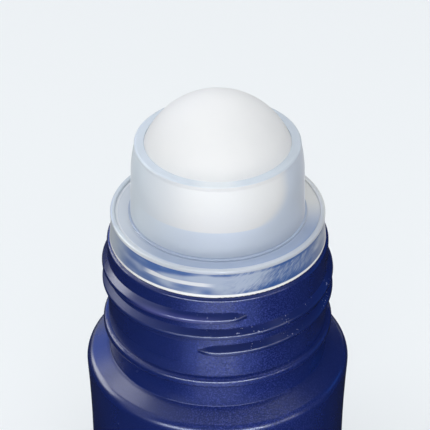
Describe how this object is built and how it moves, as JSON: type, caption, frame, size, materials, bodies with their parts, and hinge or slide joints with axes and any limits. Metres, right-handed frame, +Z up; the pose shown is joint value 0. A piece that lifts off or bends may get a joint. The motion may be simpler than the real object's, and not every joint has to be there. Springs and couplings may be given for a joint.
{
  "type": "roll-on bottle",
  "caption": "Uncapped roll-on dispenser: satin plastic bottle with a screw neck, a translucent press-on housing and a captive ball that rolls to spread liquid.",
  "frame": {"origin": "centre of the ring that the bottle stands on", "axes": "+Z up along the bottle's axis, through the centre of the ball; -Y is the front, where the thread starts and ends"},
  "size_m": [0.0494, 0.0494, 0.0945],
  "materials": {
    "bottle_plastic": "satin, fine-grained, deep blue",
    "housing_plastic": "natural translucent, frosted collar and glossy skirt",
    "ball_plastic": "satin white, ground round"
  },
  "bodies": {
    "body": {"bottle": "bottle_plastic", "ball_housing": "housing_plastic"},
    "ball": {"ball_upper_half": "ball_plastic", "ball_lower_half": "ball_plastic"}
  },
  "joints": [
    {"name": "ball_roll", "type": "hinge", "parent": "body", "child": "ball", "pos_m": [0, 0, 0.0802], "axis": [1, 0, 0], "continuous": true}
  ]
}
